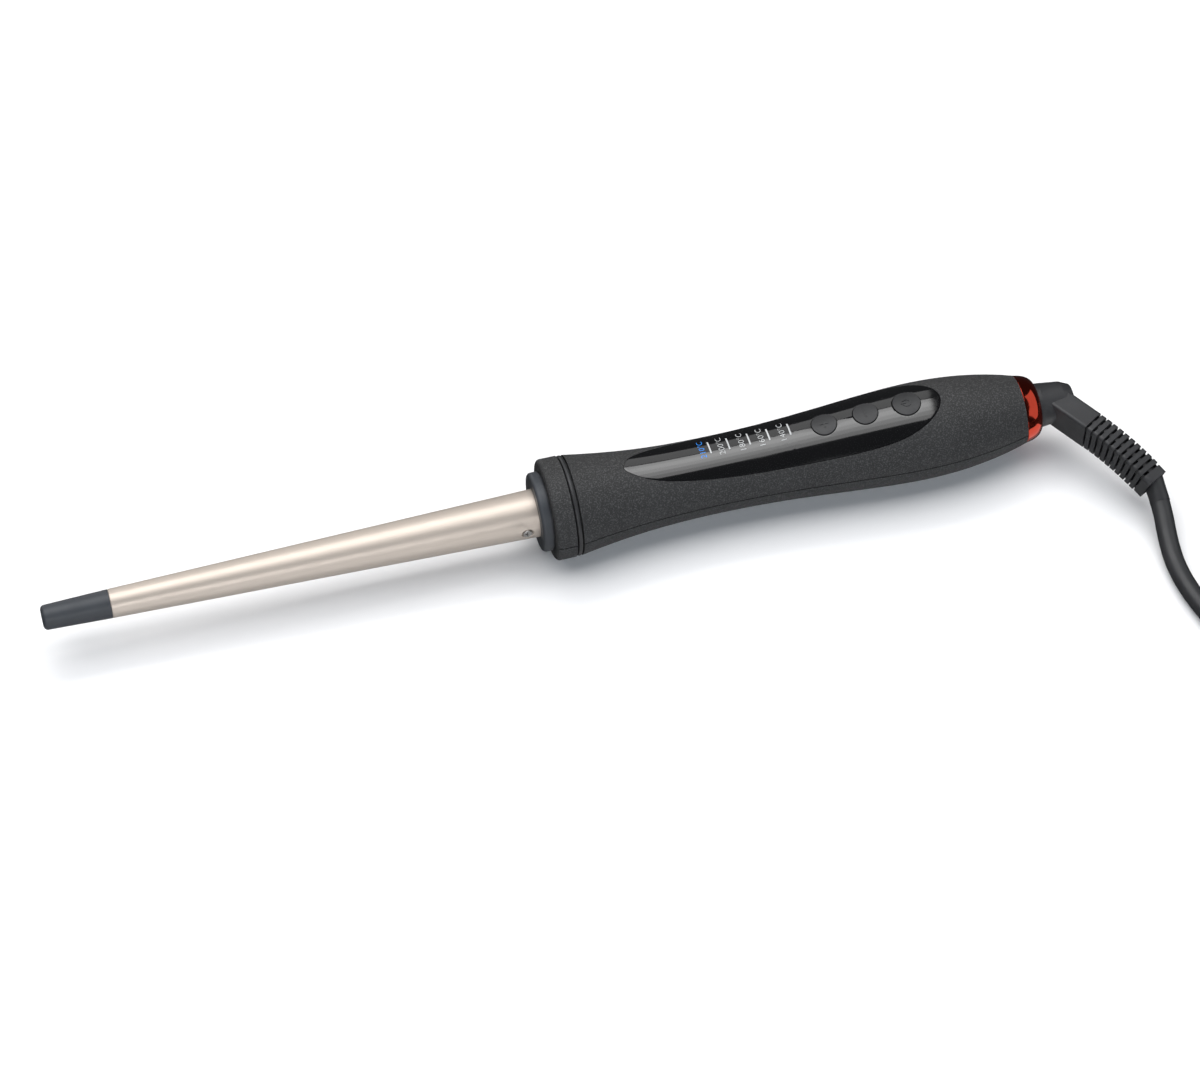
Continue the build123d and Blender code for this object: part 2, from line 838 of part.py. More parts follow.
def make_swivel_socket():
    """Insulating cup round the swivel shaft, slotted for the two contact springs."""
    wall_rear_x = 152.0
    cavity = 5.7
    with BuildPart() as socket:
        with BuildSketch(side_plane):
            with BuildLine():
                Polyline(
                    (socket_front_x, shaft_radius + running_gap), (socket_front_x, socket_radius),
                    (socket_rear_x, socket_radius), (socket_rear_x, cavity),
                    (wall_rear_x, cavity), (wall_rear_x, shaft_radius + running_gap),
                    close=True,
                )
            make_face()
        revolve(axis=wand_axis)
        for x in contact_ring_x:
            with BuildSketch(level(x, -contact_ring_radius - spring_gap)):
                Rectangle(spring_width, 2 * socket_radius + 2)
            extrude(amount=-spring_thickness, mode=Mode.SUBTRACT)
    save(socket, "swivel_socket")
    with BuildPart() as brushes:
        for x in contact_ring_x:
            with BuildSketch(level(x, -contact_ring_radius - spring_gap)):
                Rectangle(spring_width, spring_length)
            extrude(amount=-spring_thickness)
    save(brushes, "contact_springs")


def make_supply_leads():
    """Two wires from the contact springs' ends to the underside of the board."""
    under_board = axis_z + board_top - board_thickness
    low = axis_z - contact_ring_radius - 0.25
    leads = []
    for side, x in zip((-1, 1), contact_ring_x):
        leads.append(wire([(x, side * spring_length / 2, low), (x, side * lead_way, low),
                           (148.5, side * lead_way, low), (136.0, side * 6.5, under_board - 4),
                           (136.0, side * 6.5, under_board)], 0.7, 0.75))
    save_group(leads, "supply_leads")


def make_strain_relief():
    """Moulded elbow block, a ribbed flexible neck and an end block on the cord."""
    upright = Vector(0, 0, 1)
    core_inset = 0.9
    pockets = [                 # (middle across, middle up, width, height) in each gap
        (-2.0, -5.0, 2.4, 3.6), (-2.0, 5.0, 2.4, 3.6), (2.0, -5.0, 2.4, 3.6),
        (2.0, 5.0, 2.4, 3.6), (-3.6, 0.0, 2.8, 5.2), (3.6, 0.0, 2.8, 5.2),
    ]
    elbow_rounding, core_rounding, rib_rounding, end_rounding = 1.1, 0.7, 1.3, 1.8
    block_length = 3.4
    recess_place, recess_size, recess_rounding = (-2.2, -0.4), (3.5, 9.2), 1.4
    recess_depth = 1.8
    collar_shift, collar_size, collar_rounding = (1.05, 1.2), (7.0, 9.0), 3.2
    collar_length = 8.0
    collar_clearance = 0.12
    straight = Vector(*boot_bend) - Vector(*boot_start)
    start_gap = 3.0
    first = Vector(*boot_start) + straight.normalized() * start_gap
    with BuildLine() as neck:
        TangentArc(boot_bend, boot_end, tangent=straight)
    neck_edge = neck.edges()[0]
    neck_length = neck_edge.length

    def section(point, direction):
        """Section plane across the relief, its local x level and its local y upright."""
        return Plane(origin=point, x_dir=upright.cross(direction), z_dir=direction)

    with BuildPart() as relief:
        with BuildSketch(section(first, straight)):
            RectangleRounded(boot_width, boot_height, elbow_rounding)
        extrude(amount=straight.length - start_gap)
        with BuildLine():
            add(neck_edge)
        with BuildSketch(section(neck_edge @ 0, neck_edge % 0)):
            RectangleRounded(boot_width - 2 * core_inset, boot_height - 2 * core_inset,
                             core_rounding)
        sweep()
        for n in range(rib_count):
            distance = rib_gap + rib_thickness / 2 + n * (rib_gap + rib_thickness)
            along = distance / neck_length
            with BuildSketch(section(neck_edge @ along, neck_edge % along)):
                RectangleRounded(boot_width, boot_height, rib_rounding)
            extrude(amount=rib_thickness / 2, both=True)
        for n in range(rib_count + 1):
            along = (rib_gap / 2 + n * (rib_gap + rib_thickness)) / neck_length
            with BuildSketch(section(neck_edge @ along, neck_edge % along)):
                for middle_x, middle_y, width, height in pockets:
                    with Locations((middle_x, middle_y)):
                        Rectangle(width, height)
            extrude(amount=rib_gap / 2, both=True, mode=Mode.SUBTRACT)
        last_gap = (rib_gap + rib_thickness) * rib_count + rib_gap
        end_direction = neck_edge % 1
        block_start = neck_edge @ (last_gap / neck_length)
        block_end = block_start + end_direction * block_length
        with BuildSketch(section(block_start, end_direction)):
            RectangleRounded(boot_width, boot_height, end_rounding)
        extrude(amount=block_length)
        with BuildSketch(section(block_end, end_direction)):
            with Locations(recess_place):
                RectangleRounded(*recess_size, recess_rounding)
        extrude(amount=-recess_depth, mode=Mode.SUBTRACT)
        cord_start = Vector(*lead_route[1])
        cord_direction = Vector(*lead_route[2]) - cord_start
        collar_end = cord_start + cord_direction.normalized() * collar_length
        with BuildSketch(section(block_end - end_direction * recess_depth, end_direction)):
            with Locations(collar_shift):
                RectangleRounded(*collar_size, collar_rounding)
        with BuildSketch(section(collar_end, cord_direction)):
            Circle(cord_radius + collar_clearance)
        loft()
    save(relief, "strain_relief")
    return relief


def make_swivel(relief):
    """Turning stub with its shaft, which carries the contact rings."""
    end_radius = 5.2
    taper_x = 175.0
    edge_x = 183.4
    edge_radius = 6.9
    with BuildPart() as stub:
        with BuildSketch(side_plane):
            with BuildLine():
                Polyline(
                    (clip_x - 1.2, 0), (clip_x - 1.2, shaft_radius), (shoulder_x, shaft_radius),
                    (shoulder_x, stub_radius), (taper_x, stub_radius), (edge_x, edge_radius),
                    (stub_end_x, end_radius), (stub_end_x, 0), close=True,
                )
            make_face()
        revolve(axis=wand_axis)
        rear = stub.edges().filter_by(GeomType.CIRCLE).sort_by(Axis.X)
        fillet(rear[-1], 0.8)
        fillet(stub.edges().filter_by(GeomType.CIRCLE).filter_by_position(
            Axis.X, edge_x - 0.1, edge_x + 0.1), 1.5)
        clip_groove = turned([(clip_x, 3.3), (clip_x, 5), (clip_x + 0.8, 5), (clip_x + 0.8, 3.3)])
        add(clip_groove.part, mode=Mode.SUBTRACT)
        add(relief.part, mode=Mode.SUBTRACT)
    save(stub, "swivel_stub")

    half = contact_ring_width / 2
    rings = [
        turned([(x - half, shaft_radius), (x - half, contact_ring_radius),
                (x + half, contact_ring_radius), (x + half, shaft_radius)])
        for x in contact_ring_x
    ]
    save_group(rings, "contact_rings")

    with BuildPart() as clip:
        with BuildSketch(Plane.YZ.offset(clip_x + 0.05)):
            with Locations((0, axis_z)):
                Circle(5.6)
                Circle(3.32, mode=Mode.SUBTRACT)
            with Locations((0, axis_z + 5)):
                Rectangle(3.6, 8, mode=Mode.SUBTRACT)
        extrude(amount=0.7)
    save(clip, "retaining_clip")


# ---- cord ----------------------------------------------------------------------------
def cord_radii(route):
    """The largest bend that the two runs at each corner allow."""
    points = [Vector(*p) for p in route]
    radii = []
    for before, here, after in zip(points, points[1:], points[2:]):
        turn = radians((here - before).get_angle(after - here))
        shorter = min((here - before).length, (after - here).length)
        radii.append(0.45 * shorter / tan(turn / 2))
    return radii


def cord_tube(route, name):
    """A stretch of cord: straight runs joined by tangent arcs."""
    radii = cord_radii(route)
    with BuildPart() as tube:
        with BuildLine():
            path = FilletPolyline(*route, radius=radii)
        with BuildSketch(Plane(origin=path @ 0, z_dir=path % 0)):
            Circle(cord_radius)
        sweep()
    expected = path.length * Circle(cord_radius, mode=Mode.PRIVATE).area
    print(name, "length", round(path.length, 1), "bend radii", [round(r) for r in radii],
          "volume / (section x length)", round(tube.part.volume / expected, 4))
    save(tube, name)


coil_band = cord_diameter * coil_turns_wide
coil_height = cord_diameter * coil_layers
coil_outside = coil_outer_turn + cord_radius


def make_coil():
    """Outer shape of the wound cord, and the strap that holds it."""
    with BuildPart() as coil:
        with BuildSketch(Plane.XY.shift_origin((*coil_centre, 0))):
            Circle(coil_outside)
            Circle(coil_outside - coil_band, mode=Mode.SUBTRACT)
        extrude(amount=coil_height)
        fillet(coil.edges(), cord_radius - 0.5)
    save(coil, "cord_coil")

    strap_middle = coil_outside - coil_band / 2
    strap_plane = Plane(origin=(coil_centre[0], coil_centre[1] + strap_middle, 0),
                        x_dir=(0, 1, 0), z_dir=(1, 0, 0))
    with BuildPart() as tie:
        with BuildSketch(strap_plane):
            with Locations((0, (coil_height + tie_thickness) / 2)):
                RectangleRounded(coil_band + 2 * tie_thickness, coil_height + tie_thickness, 4.0)
                RectangleRounded(coil_band - 0.4, coil_height - tie_thickness, 3.0,
                                 mode=Mode.SUBTRACT)
        extrude(amount=tie_width / 2, both=True)
    save(tie, "cord_tie")


def make_plug():
    """Flat contoured plug with two round pins and a tapered relief on the cord."""
    start = Vector(*tail_route[-1])
    heading = Vector(*tail_route[-1]) - Vector(*tail_route[-2])
    along = Vector(heading.X, heading.Y, 0).normalized()
    plan = Plane(origin=(start.X, start.Y, plug_thickness / 2), x_dir=along, z_dir=(0, 0, 1))
    across = Plane(origin=plan.origin, z_dir=along, x_dir=(0, 0, 1))
    body_start = plug_relief_length
    body_end = plug_relief_length + plug_length
    plug_ring_count = 5
    first_ring, ring_pitch, ring_width, ring_floor = 3.0, 3.4, 1.2, 3.9
    waist = 19.0
    outline = [
        (body_start, 6.0), (body_start + 5, waist / 2), (body_start + 15, waist / 2 + 0.5),
        (body_start + 27, plug_width / 2), (body_end, plug_width / 2),
    ]
    with BuildPart() as body:
        with BuildSketch(plan):
            with BuildLine():
                Polyline(*outline, *[(x, -y) for x, y in reversed(outline)], close=True)
            make_face()
        extrude(amount=plug_thickness / 2, both=True)
        corners = body.edges().filter_by(Axis.Z)
        fillet(corners, 3.0)
        rims = body.faces().filter_by(Axis.Z).edges()
        fillet(rims, 2.2)
    save(body, "plug_body")

    with BuildPart() as relief:
        with BuildSketch(across):
            Circle(4.1)
        with BuildSketch(across.offset(body_start)):
            Circle(5.6)
        loft()
        for n in range(plug_ring_count):
            with BuildSketch(across.offset(first_ring + ring_pitch * n)):
                Circle(plug_thickness / 2)
                Circle(ring_floor + 0.2 * n, mode=Mode.SUBTRACT)
            extrude(amount=ring_width, mode=Mode.SUBTRACT)
    save(relief, "plug_relief")

    with BuildPart() as pins:
        with BuildSketch(across.offset(body_end)):
            with Locations((0, pin_spacing / 2), (0, -pin_spacing / 2)):
                Circle(pin_radius)
        extrude(amount=pin_length)
        fillet(pins.edges().filter_by(GeomType.CIRCLE).filter_by(
            lambda e: (e.center() - across.origin).dot(along) > body_end + 1), 1.0)
    save(pins, "plug_pins")
    print("plug pins start", plan.from_local_coords((body_end, pin_spacing / 2, 0)),
          plan.from_local_coords((body_end, -pin_spacing / 2, 0)), "along", along)


def main():
    make_cool_tip()
    make_barrel()
    make_barrel_screw()
    make_barrel_holder()
    make_heat_collar()
    make_heater()
    make_sensors()
    make_barrel_wires()
    cutter = parting_cutter()
    make_upper_shell(cutter)
    make_lower_shell(cutter)
    make_trim_ring()
    make_control_panel()
    for key in button_stations:
        make_button(key)
        make_plunger(key)
    make_tact_switches()
    make_control_board()
    make_indicator()
    make_screws()
    make_tail_ring()
    make_swivel_socket()
    make_supply_leads()
    relief = make_strain_relief()
    make_swivel(relief)
    cord_tube(lead_route, "cord_lead")
    make_coil()
    cord_tube(tail_route, "cord_tail")
    make_plug()


main()
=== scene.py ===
"""Looks of the conical curling wand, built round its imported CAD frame.

Metres, in the CAD's own frame: +X runs along the wand from the cool tip to the cord, and
the floor is at z = 0. The camera and the cord come first, then the materials, then the
pieces that are only made here: the printed scale and its lit numeral.
"""
import json
from math import cos, pi, radians, sin, tan

import bmesh
import bpy
from mathutils import Matrix, Vector
from mathutils.bvhtree import BVHTree


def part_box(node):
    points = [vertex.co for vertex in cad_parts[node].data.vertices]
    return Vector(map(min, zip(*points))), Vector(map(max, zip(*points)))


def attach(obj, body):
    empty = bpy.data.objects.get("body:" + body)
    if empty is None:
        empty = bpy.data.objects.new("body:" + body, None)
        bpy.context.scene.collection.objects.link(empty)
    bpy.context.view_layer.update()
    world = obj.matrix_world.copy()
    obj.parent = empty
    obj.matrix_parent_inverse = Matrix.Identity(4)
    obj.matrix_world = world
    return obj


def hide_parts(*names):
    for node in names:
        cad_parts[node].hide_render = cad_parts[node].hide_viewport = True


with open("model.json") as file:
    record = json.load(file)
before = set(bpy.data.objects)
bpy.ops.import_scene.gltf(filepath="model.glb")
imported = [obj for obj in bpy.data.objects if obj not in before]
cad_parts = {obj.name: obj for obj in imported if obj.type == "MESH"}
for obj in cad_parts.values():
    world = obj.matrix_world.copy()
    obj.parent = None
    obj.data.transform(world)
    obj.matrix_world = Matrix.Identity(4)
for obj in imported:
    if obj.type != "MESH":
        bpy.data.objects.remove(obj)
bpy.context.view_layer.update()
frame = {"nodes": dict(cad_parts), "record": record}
nodes = frame["nodes"]
scene = bpy.context.scene
scene.view_settings.view_transform = "Standard"

MM = 0.001                     # metres in a millimetre
CORD_DIAMETER = 7.0 * MM


def link(obj):
    scene.collection.objects.link(obj)
    return obj


# ---- camera ----------------------------------------------------------------------
def make_camera():
    """Looks down at the wand from its near side, a little turned and rolled."""
    azimuth, elevation, roll = radians(-13.69), radians(52.91), radians(-1.14)
    distance = 1.6359
    target = Vector((0.0125, 0.0, -0.00343))
    half_field = radians(7.444)          # half of the view's width
    back = Vector((sin(azimuth) * cos(elevation), -cos(azimuth) * cos(elevation), sin(elevation)))
    level = (-back).cross(Vector((0, 0, 1))).normalized()
    upright = back.cross(level)
    right = cos(roll) * level + sin(roll) * upright
    up = cos(roll) * upright - sin(roll) * level
    data = bpy.data.cameras.new("camera")
    data.sensor_width = 36.0
    data.lens = data.sensor_width / 2 / tan(half_field)
    data.clip_start, data.clip_end = 0.05, 30.0
    camera = link(bpy.data.objects.new("camera", data))
    camera.matrix_world = Matrix.Translation(target + back * distance) @ Matrix(
        (right, up, back)).transposed().to_4x4()
    scene.camera = camera


# ---- cord ------------------------------------------------------------------------
LEAD_ROUTE = [                 # millimetres, from inside the strain relief to the coil
    (203.6, -32.3, 14.8), (205.0, -39.5, 12.6), (205.5, -49.0, 8.8), (204.0, -61.0, 5.0),
    (203.6, -72.0, 3.5), (205.3, -84.5, 3.5), (209.0, -97.5, 3.5), (216.5, -115.5, 3.5),
    (230.5, -131.0, 3.5), (251.5, -142.8, 3.5), (274.0, -145.0, 3.5),
]
COIL_CENTRE = (274.0, -93.0)
COIL_LOW, COIL_HIGH = 3.5, 10.5          # heights of the coil's two layers
COIL_RADIUS, COIL_PITCH = 52.0, 7.0      # outermost turn, and the step to the next one
COIL_START, COIL_END = -90, 2517         # degrees, from the lead's end to the tail's start
COIL_STEP = 15
JOGS_IN = (180, 540, 900)                # where the lower layer steps one turn inwards
CLIMB = 1200                             # where the cord rises to the upper layer
JOGS_OUT = (1500, 1860, 2220)            # where the upper layer steps one turn outwards
JOG_SWEEP = 90                           # degrees that a jog or the climb takes
TAIL_ROUTE = [                 # millimetres, from the top of the coil to the plug
    (325.9, -95.7, 10.5), (326.2, -87.0, 10.3), (326.0, -77.5, 9.1), (325.2, -68.5, 7.7),
    (324.0, -60.0, 7.0),
]


def eased(angle, start):
    """0 before a jog, 1 after it and a smooth rise between."""
    t = min(max((angle - start) / JOG_SWEEP, 0.0), 1.0)
    return t * t * (3 - 2 * t)


def coil_points():
    """The coil's turns: in along the floor, up, and out again on top."""
    points = []
    for angle in range(COIL_START + COIL_STEP, COIL_END, COIL_STEP):
        inward = sum(eased(angle, start) for start in JOGS_IN)
        outward = sum(eased(angle, start) for start in JOGS_OUT)
        radius = COIL_RADIUS - COIL_PITCH * (inward - outward)
        height = COIL_LOW + (COIL_HIGH - COIL_LOW) * eased(angle, CLIMB)
        a = radians(angle)
        points.append((COIL_CENTRE[0] + radius * cos(a), COIL_CENTRE[1] + radius * sin(a), height))
    return points


def make_cord():
    route = LEAD_ROUTE + coil_points() + TAIL_ROUTE
    curve = bpy.data.curves.new("cord", "CURVE")
    curve.dimensions = "3D"
    spline = curve.splines.new("NURBS")
    spline.points.add(len(route) - 1)
    for point, place in zip(spline.points, route):
        point.co = (*(v * MM for v in place), 1.0)
        point.radius = CORD_DIAMETER / 2
    spline.order_u = 3
    spline.use_endpoint_u = True         # the cord reaches its first and last points
    curve.resolution_u = 8
    curve.bevel_depth = 1.0        # times each point's radius
    curve.bevel_resolution = 8
    cord = link(bpy.data.objects.new("cord", curve))
    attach(cord, "cord_swivel")
    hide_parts("cord_lead", "cord_coil", "cord_tail")
    return cord


# ---- node helpers --------------------------------------------------------------------
MIX_FACTOR, MIX_FIRST, MIX_SECOND, MIX_RESULT = 0, 6, 7, 2     # a Mix node's colour sockets


def new_material(name, colour, roughness, metallic=0.0):
    """A material and its shader, with its constant values on the shader's own sockets."""
    material = bpy.data.materials.new(name)
    material.use_nodes = True
    shader = material.node_tree.nodes["Principled BSDF"]
    shader.inputs["Base Color"].default_value = (*colour, 1)
    shader.inputs["Roughness"].default_value = roughness
    shader.inputs["Metallic"].default_value = metallic
    return material, shader


def noise(tree, size, detail=2.0, stretch=(1, 1, 1)):
    """Noise with blotches about size metres across, shorter along an axis stretched more."""
    place = tree.nodes.new("ShaderNodeTexCoord")
    mapping = tree.nodes.new("ShaderNodeMapping")
    mapping.inputs["Scale"].default_value = stretch
    tree.links.new(place.outputs["Object"], mapping.inputs["Vector"])
    node = tree.nodes.new("ShaderNodeTexNoise")
    node.inputs["Scale"].default_value = 1 / size
    node.inputs["Detail"].default_value = detail
    tree.links.new(mapping.outputs["Vector"], node.inputs["Vector"])
    return node.outputs["Fac"]


def ranged(tree, value, low, high, start=0.3, end=0.7):
    """value from start to end becomes low to high."""
    node = tree.nodes.new("ShaderNodeMapRange")
    node.inputs["From Min"].default_value = start
    node.inputs["From Max"].default_value = end
    node.inputs["To Min"].default_value = low
    node.inputs["To Max"].default_value = high
    tree.links.new(value, node.inputs["Value"])
    return node.outputs["Result"]


def blend_colours(tree, value, first, second):
    """first where value is 0, second where it is 1. Each is a colour or a node's output."""
    node = tree.nodes.new("ShaderNodeMix")
    node.data_type = "RGBA"
    for socket, colour in ((MIX_FIRST, first), (MIX_SECOND, second)):
        if isinstance(colour, tuple):
            node.inputs[socket].default_value = (*colour, 1)
        else:
            tree.links.new(colour, node.inputs[socket])
    tree.links.new(value, node.inputs[MIX_FACTOR])
    return node.outputs[MIX_RESULT]


def relief(tree, shader, *layers):
    """Bumps on top of each other. A layer is (height, depth in metres)."""
    below = None
    for height, depth in layers:
        node = tree.nodes.new("ShaderNodeBump")
        node.inputs["Strength"].default_value = 1.0
        node.inputs["Distance"].default_value = depth
        tree.links.new(height, node.inputs["Height"])
        if below:
            tree.links.new(below, node.inputs["Normal"])
        below = node.outputs["Normal"]
    tree.links.new(below, shader.inputs["Normal"])


def scaled(colour, factor):
    return tuple(channel * factor for channel in colour)


# ---- materials -------------------------------------------------------------------------
def moulded(name, colour, roughness, grain=0.0004, depth=0.000012, mottle=0.12, specular=0.5):
    """Moulded plastic or rubber: fine grain, faint mottling and an uneven gloss."""
    material, shader = new_material(name, colour, roughness)
    tree = material.node_tree
    shader.inputs["Specular IOR Level"].default_value = specular
    cloud = ranged(tree, noise(tree, 0.011, 4.0), 0.0, 1.0)
    tint = blend_colours(tree, cloud, scaled(colour, 1 - mottle), scaled(colour, 1 + mottle))
    tree.links.new(tint, shader.inputs["Base Color"])
    gloss = ranged(tree, noise(tree, 0.004, 5.0), roughness - 0.05, roughness + 0.06)
    tree.links.new(gloss, shader.inputs["Roughness"])
    relief(tree, shader, (noise(tree, grain, 3.0), depth))
    return material


def soft_touch(name, colour):
    """Soft-touch shell: a spark-eroded texture; its lighter flecks are painted highlights where
    the tops catch the light.
    """
    material, shader = new_material(name, colour, 0.6)
    tree = material.node_tree
    shader.inputs["Specular IOR Level"].default_value = 0.22
    cloud = ranged(tree, noise(tree, 0.016, 3.0), 0.0, 1.0)
    base = blend_colours(tree, cloud, scaled(colour, 0.92), scaled(colour, 1.08))
    # painted highlight: tiny lighter flecks in the base colour stand for the texture's tops
    # catching the light
    painted_glint_flecks = ranged(tree, noise(tree, 0.00046, 2.5), 0.0, 1.0, 0.50, 0.64)
    tint = blend_colours(tree, painted_glint_flecks, base, scaled(colour, 2.3))
    tree.links.new(tint, shader.inputs["Base Color"])
    gloss = ranged(tree, noise(tree, 0.0012, 3.0), 0.52, 0.70)
    tree.links.new(gloss, shader.inputs["Roughness"])
    relief(tree, shader, (noise(tree, 0.0016, 2.0), 0.00003), (noise(tree, 0.0005, 3.0), 0.00003))
    return material


def gloss_panel(name, colour):
    """Polished black panel with the faint haze of handling."""
    material, shader = new_material(name, colour, 0.06)
    tree = material.node_tree
    shader.inputs["IOR"].default_value = 2.0
    smear = ranged(tree, noise(tree, 0.009, 5.0, (0.5, 1, 1)), 0.07, 0.12, 0.35, 0.75)
    tree.links.new(smear, shader.inputs["Roughness"])
    specks = ranged(tree, noise(tree, 0.0011, 1.0), 0.0, 1.0, 0.70, 0.76)
    tint = blend_colours(tree, specks, colour, scaled(colour, 2.2))
    tree.links.new(tint, shader.inputs["Base Color"])
    relief(tree, shader, (noise(tree, 0.014, 1.0), 0.00002))
    return material


def brushed(name, colour, roughness, hair=(0.02, 1, 1), size=0.00022, depth=0.0000018,
            metallic=1.0):
    """Satin metal with fine lengthwise hairs and a slow change of tone."""
    material, shader = new_material(name, colour, roughness, metallic)
    tree = material.node_tree
    hairs = noise(tree, size, 3.0, hair)
    cloud = ranged(tree, noise(tree, 0.02, 3.0, (0.35, 1, 1)), 0.0, 1.0)
    base = blend_colours(tree, cloud, scaled(colour, 0.955), scaled(colour, 1.035))
    tint = blend_colours(tree, ranged(tree, hairs, 0.0, 0.5), base, scaled(colour, 0.90))
    tree.links.new(tint, shader.inputs["Base Color"])
    sheen = ranged(tree, hairs, roughness - 0.04, roughness + 0.06)
    tree.links.new(sheen, shader.inputs["Roughness"])
    relief(tree, shader, (hairs, depth), (noise(tree, 0.0004, 2.0), 0.0000025))
    return material


def polished(name, colour, roughness):
    """Bright metal or plating with faint swirls and a little orange peel."""
    material, shader = new_material(name, colour, roughness, metallic=1.0)
    tree = material.node_tree
    swirl = noise(tree, 0.003, 5.0)
    sheen = ranged(tree, swirl, roughness * 0.7, roughness * 1.6)
    tree.links.new(sheen, shader.inputs["Roughness"])
    tint = blend_colours(tree, ranged(tree, swirl, 0.0, 1.0), colour, scaled(colour, 0.9))
    tree.links.new(tint, shader.inputs["Base Color"])
    relief(tree, shader, (noise(tree, 0.002, 1.0), 0.000003))
    return material


def glassy(name, colour):
    """Clear glass with a slight haze."""
    material, shader = new_material(name, colour, 0.08)
    tree = material.node_tree
    shader.inputs["Transmission Weight"].default_value = 0.85
    tree.links.new(ranged(tree, noise(tree, 0.002, 3.0), 0.04, 0.14), shader.inputs["Roughness"])
    return material


def braided(name, colour):
    """Glass-fibre sleeve: crossed threads."""
    slant, fineness = 0.7, 520.0
    material, shader = new_material(name, colour, 0.8)
    tree = material.node_tree
    place = tree.nodes.new("ShaderNodeTexCoord")
    threads = []
    for turn in (slant, -slant):
        mapping = tree.nodes.new("ShaderNodeMapping")
        mapping.inputs["Rotation"].default_value = (0, 0, turn)
        wave = tree.nodes.new("ShaderNodeTexWave")
        wave.inputs["Scale"].default_value = fineness
        tree.links.new(place.outputs["Object"], mapping.inputs["Vector"])
        tree.links.new(mapping.outputs["Vector"], wave.inputs["Vector"])
        threads.append(wave.outputs["Fac"])
    tint = blend_colours(tree, threads[0], scaled(colour, 0.8), colour)
    tree.links.new(tint, shader.inputs["Base Color"])
    relief(tree, shader, (threads[0], 0.00008), (threads[1], 0.00008))
    return material


def make_materials():
    """One material for each of the record's slots."""
    return {
        "champagne_metal": brushed("champagne_metal", (0.645, 0.567, 0.50), 0.38, metallic=0.62),
        "tip_plastic": moulded("tip_plastic", (0.036, 0.040, 0.047), 0.42, specular=0.45),
        "soft_touch_black": soft_touch("soft_touch_black", (0.0272, 0.0274, 0.028)),
        "panel_gloss": gloss_panel("panel_gloss", (0.004, 0.004, 0.0045)),
        "button_plastic": moulded("button_plastic", (0.022, 0.0225, 0.024), 0.40, grain=0.0003),
        "red_mirror": polished("red_mirror", (0.60, 0.068, 0.038), 0.07),
        "cord_plastic": moulded("cord_plastic", (0.026, 0.0265, 0.0285), 0.40, specular=0.5),
        "screw_steel": polished("screw_steel", (0.62, 0.61, 0.60), 0.25),
        "aluminium_blocks": brushed("aluminium_blocks", (0.75, 0.76, 0.78), 0.4),
        "ceramic_white": moulded("ceramic_white", (0.80, 0.78, 0.72), 0.7, grain=0.0006),
        "film_amber": moulded("film_amber", (0.50, 0.24, 0.05), 0.25, depth=0.000004),
        "board_green": moulded("board_green", (0.02, 0.14, 0.06), 0.35, grain=0.0008),
        "holder_plastic": moulded("holder_plastic", (0.40, 0.35, 0.28), 0.55),
        "part_black": moulded("part_black", (0.02, 0.02, 0.021), 0.5, grain=0.0005),
        "part_yellow": moulded("part_yellow", (0.60, 0.44, 0.06), 0.35),
        "frame_white": moulded("frame_white", (0.78, 0.78, 0.76), 0.5),
        "clear_glass": glassy("clear_glass", (0.85, 0.9, 0.9)),
        "contact_brass": polished("contact_brass", (0.78, 0.57, 0.27), 0.22),
        "pin_metal": brushed("pin_metal", (0.72, 0.70, 0.66), 0.22, hair=(1, 1, 1), size=0.0006),
        "wire_sleeve": braided("wire_sleeve", (0.70, 0.68, 0.62)),
        "wire_red": moulded("wire_red", (0.42, 0.03, 0.025), 0.4),
    }


def dress_nodes(materials):
    """Every CAD node gets its slot's material."""
    for part in frame["record"]["subparts"]:
        mesh = nodes[part["node"]].data
        mesh.materials.clear()
        mesh.materials.append(materials[part["material_slot"]])


# ---- printed scale -----------------------------------------------------------------
# millimetres: x along the wand, near and far across it
PRINT_RISE = 0.04              # how far the print stands above the panel
TICKS_X = [53.1, 59.9, 67.4, 74.5, 82.2]
TICK_NEAR, TICK_FAR = -0.9, 4.7
TICK_WIDTH, TICK_STEPS = 0.55, 12
NUMERALS = ["210", "200", "180", "160", "140"]
NUMERAL_GAP = 2.9              # from a tick to the middle of its numeral
NUMERAL_NEAR, NUMERAL_FAR = -2.3, 5.8
NUMERAL_HEIGHT = 2.15
NUMERAL_THINNING = -0.012      # font units taken off each stroke's outline
LONGEST_EDGE = 0.5             # a longer edge of the print is cut, so that it follows the panel


def panel_surface():
    """A function that gives the panel's surface and normal under a point in plan."""
    panel = nodes["control_panel"].data
    skin = BVHTree.FromPolygons([v.co for v in panel.vertices],
                                [p.vertices for p in panel.polygons])
    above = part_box("control_panel")[1].z + 10 * MM

    def surface(x, y):
        place, normal, _, _ = skin.ray_cast(Vector((x, y, above)), Vector((0, 0, -1)))
        return place, normal

    return surface


def lay_on_panel(mesh, surface):
    """Put a flat mesh, drawn in plan, onto the panel."""
    for vertex in mesh.vertices:
        place, normal = surface(vertex.co.x, vertex.co.y)
        vertex.co = place + normal * (PRINT_RISE * MM)


def tick_faces(build):
    """Short bars across the wand, one beside each numeral."""
    for x in TICKS_X:
        rows = []
        for n in range(TICK_STEPS + 1):
            y = TICK_NEAR + (TICK_FAR - TICK_NEAR) * n / TICK_STEPS
            rows.append([build.verts.new(((x + side * TICK_WIDTH / 2) * MM, y * MM, 0.0))
                         for side in (-1, 1)])
        for low, high in zip(rows, rows[1:]):
            build.faces.new((low[0], low[1], high[1], high[0]))


